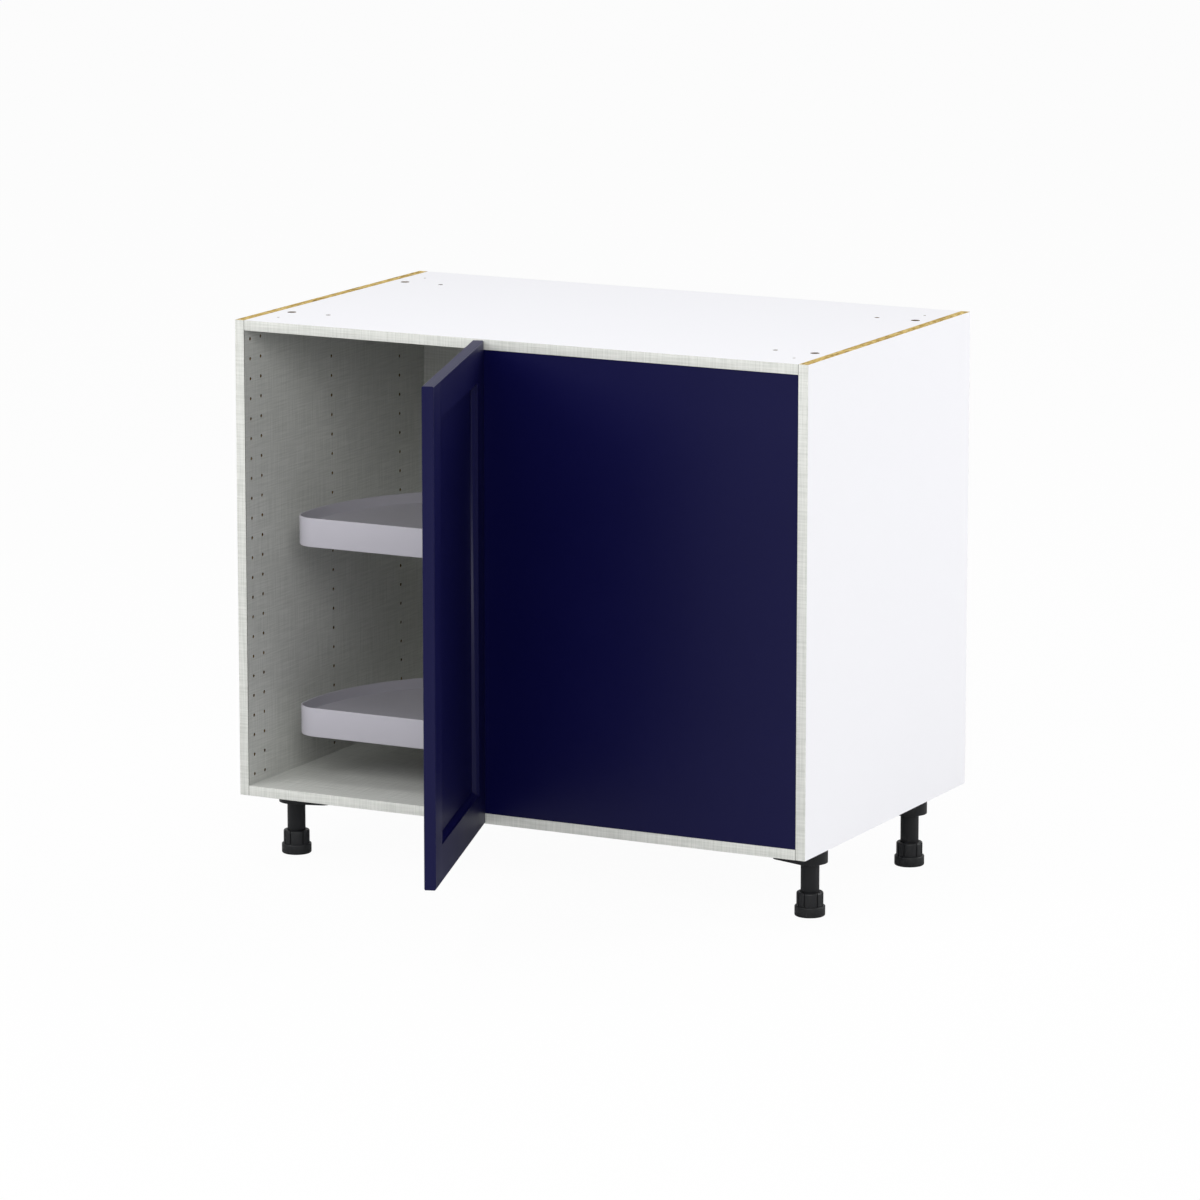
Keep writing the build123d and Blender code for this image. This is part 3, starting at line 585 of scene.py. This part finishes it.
def refined(node, width):
    """A copy of a CAD node whose sharp edges are rounded."""
    piece = reopened(node)
    bpy.ops.object.mode_set(mode="OBJECT")
    modifier = piece.modifiers.new("broken edges", "BEVEL")
    modifier.width = width
    modifier.segments = 2
    modifier.limit_method = "ANGLE"
    modifier.angle_limit = radians(25.0)
    bpy.ops.object.modifier_apply(modifier=modifier.name)
    bpy.ops.object.shade_smooth_by_angle(angle=sharp_angle)
    return piece


fit(refined("panel_brackets", 0.0005), "cabinet", "zinc_plated_steel", zinc_plate, "panel_brackets")


# Wood screws. Zinc-plated, 3.5 mm, with a domed head and a cross recess. They hold the brackets, the
# hinges, the post's sockets and the feet.
def down(at, way):
    """A test for the faces that look down."""
    return way.z < -0.9


def domed_screw(shank_radius=0.00175, length=0.014):
    """A screw standing on its seat at the origin, with its shank pointing down."""
    head_radius = 0.00375
    head_height = 0.0024
    tip_share = 0.18
    tip_scale = 0.3
    open_primitive(
        "cylinder",
        "screw",
        vertices=24,
        radius=head_radius,
        depth=head_height,
        location=(0, 0, head_height / 2),
    )
    pick("EDGE", ring(head_radius, head_height))
    ease(0.0013, 3)
    pick("FACE", down)
    bpy.ops.mesh.inset(thickness=head_radius - shank_radius)
    push((0, 0, -length * (1.0 - tip_share)))
    push((0, 0, -length * tip_share))
    bpy.ops.transform.resize(value=(tip_scale, tip_scale, 1.0), center_override=(0, 0, -length))
    screw = close()
    cross_recess(screw, head_height, length=0.0036, width=0.0008, depth=0.0014)
    return screw


def driven(seat, into):
    """The move that sets a screw on its seat, pointing a way."""
    turn = Vector((0, 0, -1)).rotation_difference(Vector(into))
    return Matrix.Translation(seat) @ turn.to_matrix().to_4x4()


bracket_half = 0.012
sheet = 0.002
screw_reach = 0.017
blind_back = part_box("blind_panel")[1].y
brackets_low, brackets_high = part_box("panel_brackets")
bracket_drives = []
for x in (brackets_low.x + bracket_half, brackets_high.x - bracket_half):
    for face, inward in ((inner_bottom, 1), (inner_top, -1)):
        on_panel = (x, blind_back + screw_reach, face + inward * sheet)
        on_blind = (x, blind_back + sheet, face + inward * screw_reach)
        bracket_drives += [driven(on_panel, (0, 0, -inward)), driven(on_blind, (0, -1, 0))]
screws = join(copied(domed_screw(), *bracket_drives), "bracket_screws")
fit(screws, "cabinet", "zinc_plated_steel", zinc_plate, "panel_bracket_screws")


# Door. Two stiles and two rails with a square step and a bevel round a flat panel, all MDF in the
# same navy lacquer. The outer corners are rubbed round, so they catch a thin light.
joints = {joint["name"]: joint for joint in frame["joints"]}
hinge_x, hinge_y = joints["door_hinge"]["pos_m"][:2]
swing = -radians(joints["door_hinge"]["range_deg"][0])
pivot = Vector((hinge_x, hinge_y, 0.0))
door_x = Vector((-cos(swing), -sin(swing), 0.0))
door_y = Vector((sin(swing), -cos(swing), 0.0))
members = ("door_hinge_stile", "door_latch_stile", "door_top_rail", "door_bottom_rail")
corners = [vertex.co - pivot for node in members for vertex in frame["nodes"][node].data.vertices]
hinge_edge = min(corner.dot(door_x) for corner in corners)
latch_edge = max(corner.dot(door_x) for corner in corners)
door_back = min(corner.dot(door_y) for corner in corners)
door_bottom = min(corner.z for corner in corners)
door_top = max(corner.z for corner in corners)
rub_reach = 0.0017


def on_outline(at, way):
    """A test for the long edges round the door, without the short ones across its thickness."""
    along = (at - pivot).dot(door_x)
    from_side = min(along - hinge_edge, latch_edge - along)
    from_end = min(at.z - door_bottom, door_top - at.z)
    upright = abs(way.z) > 0.99
    level = abs(way.z) < 0.01 and abs(way.dot(door_x)) > 0.99
    return min(from_side, from_end) < rub_reach and (upright if from_side < from_end else level)


for node in members:
    reopened(node)
    pick("EDGE", on_outline)
    ease(0.0006, 3)
    fit(close(), "door", "navy_lacquer", navy, node)
dress(navy, "door_center_panel")


# Hinge cups. Nickel-plated pressed steel, 35 mm across, let into the back of the door with a thin
# flange and two ears for the screws. Each has a rolled lip.
def below(height):
    """A test for the edges at or below a height."""
    return lambda at, way: at.z < height + tolerance


def above(height):
    """A test for the edges at or above a height."""
    return lambda at, way: at.z > height - tolerance


nickel_plate = metal("nickel plate on pressed steel", "#d0cdc7", 0.2, 300.0, 0.05)
cup_radius = 0.0175
cup_wall = 0.001
cup_depth = 0.0132
hollow_depth = 0.0123
hollow_length = 0.015
flange_radius = 0.019
flange_thickness = 0.0012
ear_radius = 0.0065
ear_x = 0.0095
ear_reach = 0.0225
cup_x = 0.0119
open_primitive(
    "cylinder",
    "cup",
    vertices=64,
    radius=flange_radius,
    depth=flange_thickness,
    location=(0, 0, -flange_thickness / 2),
)
for y in (-ear_reach, ear_reach):
    bpy.ops.mesh.primitive_cylinder_add(
        vertices=32,
        radius=ear_radius,
        depth=flange_thickness,
        location=(ear_x, y, -flange_thickness / 2),
    )
bpy.ops.mesh.select_all(action="SELECT")
bpy.ops.mesh.convex_hull()
bpy.ops.mesh.dissolve_limited(angle_limit=radians(1.0))
pick("EDGE", below(-flange_thickness))
ease(0.0004, 2)
flange = close()
open_primitive(
    "cylinder",
    "shell",
    vertices=64,
    radius=cup_radius,
    depth=cup_depth,
    location=(0, 0, cup_depth / 2),
)
pick("EDGE", above(cup_depth))
ease(0.0016, 3)
cut_out(flange, close(), "UNION")
open_primitive(
    "cylinder",
    "hollow",
    vertices=64,
    radius=cup_radius - cup_wall,
    depth=hollow_length,
    location=(0, 0, hollow_depth - hollow_length / 2),
)
pick("EDGE", above(hollow_depth))
ease(0.0014, 3)
cut_out(flange, close())
bpy.ops.object.shade_smooth_by_angle(angle=sharp_angle)
cups_low, cups_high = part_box("hinge_cups")
hinge_heights = (cups_low.z + ear_reach + ear_radius, cups_high.z - ear_reach - ear_radius)
cup_seat = pivot + door_x * cup_x + door_y * door_back
into_door = Matrix((door_x, Vector((0, 0, -1)), door_y)).transposed().to_4x4()
cup_moves = [Matrix.Translation(cup_seat + Vector((0, 0, z))) @ into_door for z in hinge_heights]
fit(join(copied(flange, *cup_moves), "cups"), "door", "nickel_plated_steel", nickel_plate, "hinge_cups")
dress(nickel_plate, "hinge_pins")
ear_seat = cup_seat + door_x * ear_x - door_y * flange_thickness
ear_drives = [
    driven(ear_seat + Vector((0, 0, z + side)), door_y)
    for z in hinge_heights
    for side in (-ear_reach, ear_reach)
]
screws = join(copied(domed_screw(), *ear_drives), "cup_screws")
fit(screws, "door", "zinc_plated_steel", zinc_plate, "hinge_cup_screws")


# Hinge arms and plates. The arms are bent nickel-plated strip that leaves the cup, passes the blind
# panel's edge and lies on a plate screwed to the panel's back. One screw clamps each arm.
fit(refined("hinge_arms", 0.0003), "cabinet", "nickel_plated_steel", nickel_plate, "hinge_arms")
fit(refined("hinge_plates", 0.0006), "cabinet", "nickel_plated_steel", nickel_plate, "hinge_plates")
screw_rise = 0.016
arm_thickness = 0.0018
plates_low, plates_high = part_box("hinge_plates")
plate_x = (plates_low.x + plates_high.x) / 2
plate_back = plates_high.y
plate_drives = [
    driven((plate_x, plate_back, z + rise), (0, -1, 0))
    for z in hinge_heights
    for rise in (-screw_rise, screw_rise)
]
screws = join(copied(domed_screw(), *plate_drives), "plate_screws")
fit(screws, "cabinet", "zinc_plated_steel", zinc_plate, "hinge_plate_screws")
arm_drives = [driven((plate_x, plate_back + arm_thickness, z), (0, -1, 0)) for z in hinge_heights]
clamp_screw = domed_screw(shank_radius=0.002, length=0.0053)
screws = join(copied(clamp_screw, *arm_drives), "arm_screws")
fit(screws, "cabinet", "zinc_plated_steel", zinc_plate, "hinge_arm_screws")


# Foot brackets. Black glass-filled nylon, open below, with a round socket for the leg and a wing
# towards the middle of the cabinet. Each is screwed up into the bottom panel.
def moulded(name, shade, roughness, grain, depth):
    """Moulded plastic with a fine spark grain, in dots a metre, and soft patches in its colour."""
    darkest = 0.93
    spread = 0.05
    material, tree, output = new_material(name)
    coordinates = add_node(tree, "ShaderNodeTexCoord").outputs["Object"]
    dots = {"Vector": coordinates, "Scale": grain, "Detail": 2.0}
    spark = add_node(tree, "ShaderNodeTexNoise", dots).outputs["Fac"]
    cloud = add_node(tree, "ShaderNodeTexNoise", {"Vector": coordinates, "Scale": 14.0, "Detail": 2.0})
    tint = add_node(tree, "ShaderNodeValToRGB", {"Fac": cloud.outputs["Fac"]})
    tint.color_ramp.elements[0].color = [part * darkest for part in linear(shade)[:3]] + [1.0]
    tint.color_ramp.elements[1].color = linear(shade)
    sheen = add_node(
        tree,
        "ShaderNodeMapRange",
        {"Value": spark, "To Min": roughness - spread, "To Max": roughness + spread},
    )
    relief = add_node(tree, "ShaderNodeBump", {"Height": spark, "Strength": 0.15, "Distance": depth})
    surface = add_node(
        tree,
        "ShaderNodeBsdfPrincipled",
        {"Base Color": tint.outputs[0], "Roughness": sheen.outputs[0], "Normal": relief.outputs[0]},
    )
    surface.inputs["Specular IOR Level"].default_value = 0.35
    tree.links.new(surface.outputs[0], output.inputs["Surface"])
    return material


black_nylon = moulded("glass-filled black nylon", "#202123", 0.42, 1100.0, 0.0001)
foot_places = {}
for corner, inward in (("front_left", 1), ("front_right", -1), ("back_left", 1), ("back_right", -1)):
    foot_low, foot_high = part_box(f"foot_adjuster_{corner}")
    middle = (foot_low + foot_high) / 2
    foot_places[corner] = (middle.x, middle.y, inward)
foot_moves = [
    Matrix.Translation((x, y, 0.0)) @ Matrix.Rotation(0.0 if inward > 0 else pi, 4, "Z")
    for x, y, inward in foot_places.values()
]
bracket_radius = 0.0275
wing_radius = 0.013
wing_x = 0.049
bracket_wall = 0.0025
bracket_hollow = 0.026
socket_radius = 0.0171
socket_drop = 0.0015
screw_offset = 0.021
bracket_bottom, bracket_top = [corner.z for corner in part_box("foot_brackets")]
bracket_height = bracket_top - bracket_bottom
bracket_middle = (bracket_top + bracket_bottom) / 2
roof = bracket_bottom + bracket_hollow
socket_bottom = bracket_bottom - socket_drop
open_primitive(
    "cylinder",
    "bracket",
    vertices=64,
    radius=bracket_radius,
    depth=bracket_height,
    location=(0, 0, bracket_middle),
)
bpy.ops.mesh.primitive_cylinder_add(
    vertices=48,
    radius=wing_radius,
    depth=bracket_height,
    location=(wing_x, 0, bracket_middle),
)
bpy.ops.mesh.select_all(action="SELECT")
bpy.ops.mesh.convex_hull()
bpy.ops.mesh.dissolve_limited(angle_limit=radians(1.0))
pick("FACE", down)
bpy.ops.mesh.inset(thickness=bracket_wall)
push((0, 0, bracket_hollow))
pick("EDGE", below(bracket_bottom))
ease(0.0005, 2)
shell = close()
open_primitive(
    "cylinder",
    "socket",
    vertices=48,
    radius=socket_radius,
    depth=roof - socket_bottom,
    location=(0, 0, (roof + socket_bottom) / 2),
)
pick("FACE", down)
bpy.ops.mesh.inset(thickness=bracket_wall)
push((0, 0, roof - socket_bottom))
bpy.ops.mesh.delete(type="FACE")
pick("FACE", up)
bpy.ops.mesh.delete(type="FACE")
pick("EDGE", below(socket_bottom))
ease(0.0009, 3)
brackets = join(copied(join([shell, close()], "bracket"), *foot_moves), "foot_brackets_piece")
fit(brackets, "cabinet", "black_plastic", black_nylon, "foot_brackets")
foot_drives = []
for x, y, inward in foot_places.values():
    for seat in ((x, y - screw_offset, roof), (x + inward * wing_x, y, roof)):
        foot_drives.append(driven(seat, (0, 0, 1)))
screws = join(copied(domed_screw(), *foot_drives), "foot_screws")
fit(screws, "cabinet", "zinc_plated_steel", zinc_plate, "foot_bracket_screws")


# Leg tubes. Black nylon tubes pushed into the brackets. The thread inside, for the adjusters, is
# drawn as a plain bore, and the lower rim has a small lead-in.
leg_radius = 0.0145
leg_wall = 0.004
bore_depth = 0.094
leg_bottom, leg_top = [corner.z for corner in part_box("leg_tubes")]
open_primitive(
    "cylinder",
    "leg",
    vertices=64,
    radius=leg_radius,
    depth=leg_top - leg_bottom,
    location=(0, 0, (leg_top + leg_bottom) / 2),
)
pick("FACE", down)
bpy.ops.mesh.inset(thickness=leg_wall)
push((0, 0, bore_depth))
pick("EDGE", below(leg_bottom))
ease(0.0007, 2)
legs = join(copied(close(), *foot_moves), "legs")
fit(legs, "cabinet", "black_plastic", black_nylon, "leg_tubes")


# Adjusters. A round base, a collar with four wide grips and a stem that screws up into the leg, all
# one black moulding. A turn of the collar sets the height.
base_radius = 0.0238
base_top = 0.0158
collar_radius = 0.0209
collar_top = 0.0378
hollow_radius = 0.015
stem_radius = 0.01
groove_depth = 0.0017
groove_width = 0.0019
stem_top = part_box("foot_adjuster_front_left")[1].z
open_primitive(
    "cylinder",
    "adjuster",
    vertices=72,
    radius=base_radius,
    depth=base_top,
    location=(0, 0, base_top / 2),
)
pick("FACE", up)
bpy.ops.mesh.inset(thickness=base_radius - collar_radius)
push((0, 0, collar_top - base_top))
bpy.ops.mesh.inset(thickness=collar_radius - hollow_radius)
push((0, 0, base_top - collar_top))
bpy.ops.mesh.inset(thickness=hollow_radius - stem_radius)
push((0, 0, stem_top - base_top))
pick("EDGE", ring(collar_radius, collar_top))
ease(0.0024, 3)
pick("EDGE", ring(base_radius, base_top))
ease(0.0012, 3)
pick("EDGE", ring(base_radius, 0.0))
ease(0.0022, 4)
adjuster = close()
groove_middle = (base_top + collar_top) / 2 + 0.0008
for grip in range(4):
    for grip_end in (1.5, 58.5):
        turn = radians(90.0 * grip + grip_end)
        open_primitive(
            "cube",
            "groove",
            size=1.0,
            location=(collar_radius * cos(turn), collar_radius * sin(turn), groove_middle),
            rotation=(0, 0, turn),
            scale=(2 * groove_depth, groove_width, collar_top - base_top + 0.001),
        )
        cut_out(adjuster, close())
bpy.ops.object.shade_smooth_by_angle(angle=sharp_angle)
places = [Matrix.Translation((x, y, 0.0)) for x, y, inward in foot_places.values()]
for corner, piece in zip(foot_places, copied(adjuster, *places)):
    piece.name = f"adjuster_{corner}"
    fit(piece, f"foot_{corner}", "black_plastic", black_nylon, f"foot_adjuster_{corner}")


# Carousel post. Chromed steel tube, 25 mm across, between the bottom and the top panel. It stands in
# a socket at each end and stays still while the trays turn on it.
chrome = metal("chrome plate on drawn tube", "#dcdcde", 0.1, 160.0, 0.03)
dress(chrome, "carousel_post")


# Post sockets and tray collars. Grey acetal: a square plate with a ring at each end of the post, and
# a clamped ring with a set screw below each tray.
acetal = moulded("grey acetal", "#8f8f96", 0.38, 1000.0, 0.00005)
plate_side = 0.062
plate_thickness = 0.004
socket_height = 0.028
ring_radius = 0.0166
ring_wall = 0.004
ring_floor = 0.0001
hole_offset = 0.01697
post_x, post_y = joints["upper_tray_swing"]["pos_m"][:2]
post = Vector((post_x, post_y, 0.0))
open_primitive(
    "cube",
    "socket",
    size=1.0,
    location=(0, 0, plate_thickness / 2),
    scale=(plate_side, plate_side, plate_thickness),
)
pick("EDGE", lambda at, way: abs(way.z) > 0.9)
ease(0.006, 6)
pick("EDGE", above(plate_thickness))
ease(0.0008, 2)
plate = close()
open_primitive(
    "cylinder",
    "ring",
    vertices=64,
    radius=ring_radius,
    depth=socket_height - plate_thickness,
    location=(0, 0, (socket_height + plate_thickness) / 2),
)
pick("FACE", up)
bpy.ops.mesh.inset(thickness=ring_wall)
push((0, 0, plate_thickness + ring_floor - socket_height))
pick("EDGE", above(socket_height))
ease(0.0006, 2)
socket = join([plate, close()], "socket")
at_bottom = Matrix.Translation(post + Vector((0, 0, inner_bottom)))
at_top = Matrix.Translation(post + Vector((0, 0, inner_top))) @ upside_down
sockets = join(copied(socket, at_bottom, at_top), "sockets")
fit(sockets, "cabinet", "grey_plastic", acetal, "post_sockets")
socket_drives = [
    driven(post + Vector((x, y, face)), (0, 0, into))
    for face, into in ((inner_bottom + plate_thickness, -1), (inner_top - plate_thickness, 1))
    for x in (-hole_offset, hole_offset)
    for y in (-hole_offset, hole_offset)
]
screws = join(copied(domed_screw(), *socket_drives), "socket_screws")
fit(screws, "cabinet", "zinc_plated_steel", zinc_plate, "post_socket_screws")

clamp_radius = 0.021
clamp_height = 0.014
clamp_gap = 0.0003
clamp_bore = 0.0126
set_radius = 0.003
set_length = 0.0085
crosswise = (radians(90), 0, 0)
tray_bases = [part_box(node)[0].z for node in ("tray_lower", "tray_upper")]
clamp_moves = [
    Matrix.Translation(post + Vector((0, 0, base - clamp_gap - clamp_height))) for base in tray_bases
]
open_primitive(
    "cylinder",
    "collar",
    vertices=64,
    radius=clamp_radius,
    depth=clamp_height,
    location=(0, 0, clamp_height / 2),
)
pick("EDGE", lambda at, way: abs(way.z) < 0.1)
ease(0.001, 3)
collar = close()
open_primitive(
    "cylinder",
    "bore",
    vertices=64,
    radius=clamp_bore,
    depth=0.03,
    location=(0, 0, clamp_height / 2),
)
cut_out(collar, close())
open_primitive(
    "cylinder",
    "screw_hole",
    vertices=24,
    radius=set_radius,
    depth=0.02,
    location=(0, -(clamp_bore + clamp_radius) / 2, clamp_height / 2),
    rotation=crosswise,
)
cut_out(collar, close())
bpy.ops.object.shade_smooth_by_angle(angle=sharp_angle)
fit(join(copied(collar, *clamp_moves), "collars"), "cabinet", "grey_plastic", acetal, "tray_collars")
open_primitive(
    "cylinder",
    "set_screw",
    vertices=24,
    radius=set_radius,
    depth=set_length,
    location=(0, set_length / 2 - clamp_radius, clamp_height / 2),
    rotation=crosswise,
)
pick("FACE", lambda at, way: way.y < -0.9)
bpy.ops.mesh.inset(thickness=0.0006)
push((0, 0.0004, 0))
set_screw = close()
open_primitive(
    "cylinder",
    "hex_recess",
    vertices=6,
    radius=0.0017,
    depth=0.004,
    location=(0, -clamp_radius, clamp_height / 2),
    rotation=crosswise,
)
cut_out(set_screw, close())
screws = join(copied(set_screw, *clamp_moves), "set_screws")
fit(screws, "cabinet", "zinc_plated_steel", zinc_plate, "collar_screws")


# Trays. Half-moon trays in lilac-grey ABS, with a thin raised rim and soft edges, a hub round the
# post, and ribs below. Each hub rests just above its collar, and the tray swings out on the post.
tray_plastic = moulded("lilac-grey ABS", "#b4b2ba", 0.4, 900.0, 0.00004)
tray_height = 0.0465
floor_height = 0.0295
tray_wall = 0.003
arc_radius = 0.33
corner_radius = 0.04
arc_y = post_y + 0.037
corner_y = post_y + 0.011
corner_x = sqrt((arc_radius - corner_radius) ** 2 - (arc_y - corner_y) ** 2)
arc_end_y = arc_y + (corner_y - arc_y) * arc_radius / (arc_radius - corner_radius)
hub_radius = 0.023
hub_height = 0.0375
hub_bore = 0.013
rib_width = 0.0025
rib_bottom = 0.0012
rib_top = 0.027
side_rib = 0.3268
back_rib = 0.3
open_primitive(
    "cylinder",
    "tray",
    vertices=240,
    radius=arc_radius,
    depth=tray_height,
    location=(post_x, arc_y, tray_height / 2),
)
bpy.ops.mesh.select_all(action="SELECT")
bpy.ops.mesh.bisect(plane_co=(0, arc_end_y, 0), plane_no=(0, 1, 0), clear_inner=True, use_fill=True)
for x in (post_x - corner_x, post_x + corner_x):
    bpy.ops.mesh.primitive_cylinder_add(
        vertices=96,
        radius=corner_radius,
        depth=tray_height,
        location=(x, corner_y, tray_height / 2),
    )
bpy.ops.mesh.select_all(action="SELECT")
bpy.ops.mesh.convex_hull()
bpy.ops.mesh.dissolve_limited(angle_limit=radians(0.5))
pick("FACE", up)
bpy.ops.mesh.inset(thickness=tray_wall)
push((0, 0, floor_height - tray_height))
pick("EDGE", lambda at, way: abs(at.z - floor_height) < tolerance)
ease(0.0012, 2)
pick("EDGE", above(tray_height))
ease(0.0009, 3)
pick("FACE", down)
bpy.ops.mesh.inset(thickness=tray_wall)
push((0, 0, floor_height - tray_wall))
pick("EDGE", below(0.0))
ease(0.0012, 3)
tray = close()
open_primitive(
    "cylinder",
    "hub",
    vertices=64,
    radius=hub_radius,
    depth=hub_height,
    location=(post_x, post_y, hub_height / 2),
)
pick("EDGE", above(hub_height))
ease(0.0015, 3)
cut_out(tray, close(), "UNION")
for rib in range(5):
    turn = pi * rib / 4
    length = side_rib if rib in (0, 4) else back_rib
    rib_x = post_x + cos(turn) * length / 2
    rib_y = post_y + sin(turn) * length / 2
    open_primitive(
        "cube",
        "rib",
        size=1.0,
        location=(rib_x, rib_y, (rib_bottom + rib_top) / 2),
        rotation=(0, 0, turn),
        scale=(length, rib_width, rib_top - rib_bottom),
    )
    cut_out(tray, close(), "UNION")
open_primitive(
    "cylinder",
    "bore",
    vertices=64,
    radius=hub_bore,
    depth=0.1,
    location=(post_x, post_y, 0.02),
)
cut_out(tray, close())
bpy.ops.object.shade_smooth_by_angle(angle=sharp_angle)
tray_moves = [Matrix.Translation((0, 0, base)) for base in tray_bases]
for name, piece in zip(("lower", "upper"), copied(tray, *tray_moves)):
    piece.name = f"{name}_half_moon"
    fit(piece, f"{name}_tray", "tray_plastic", tray_plastic, f"tray_{name}")
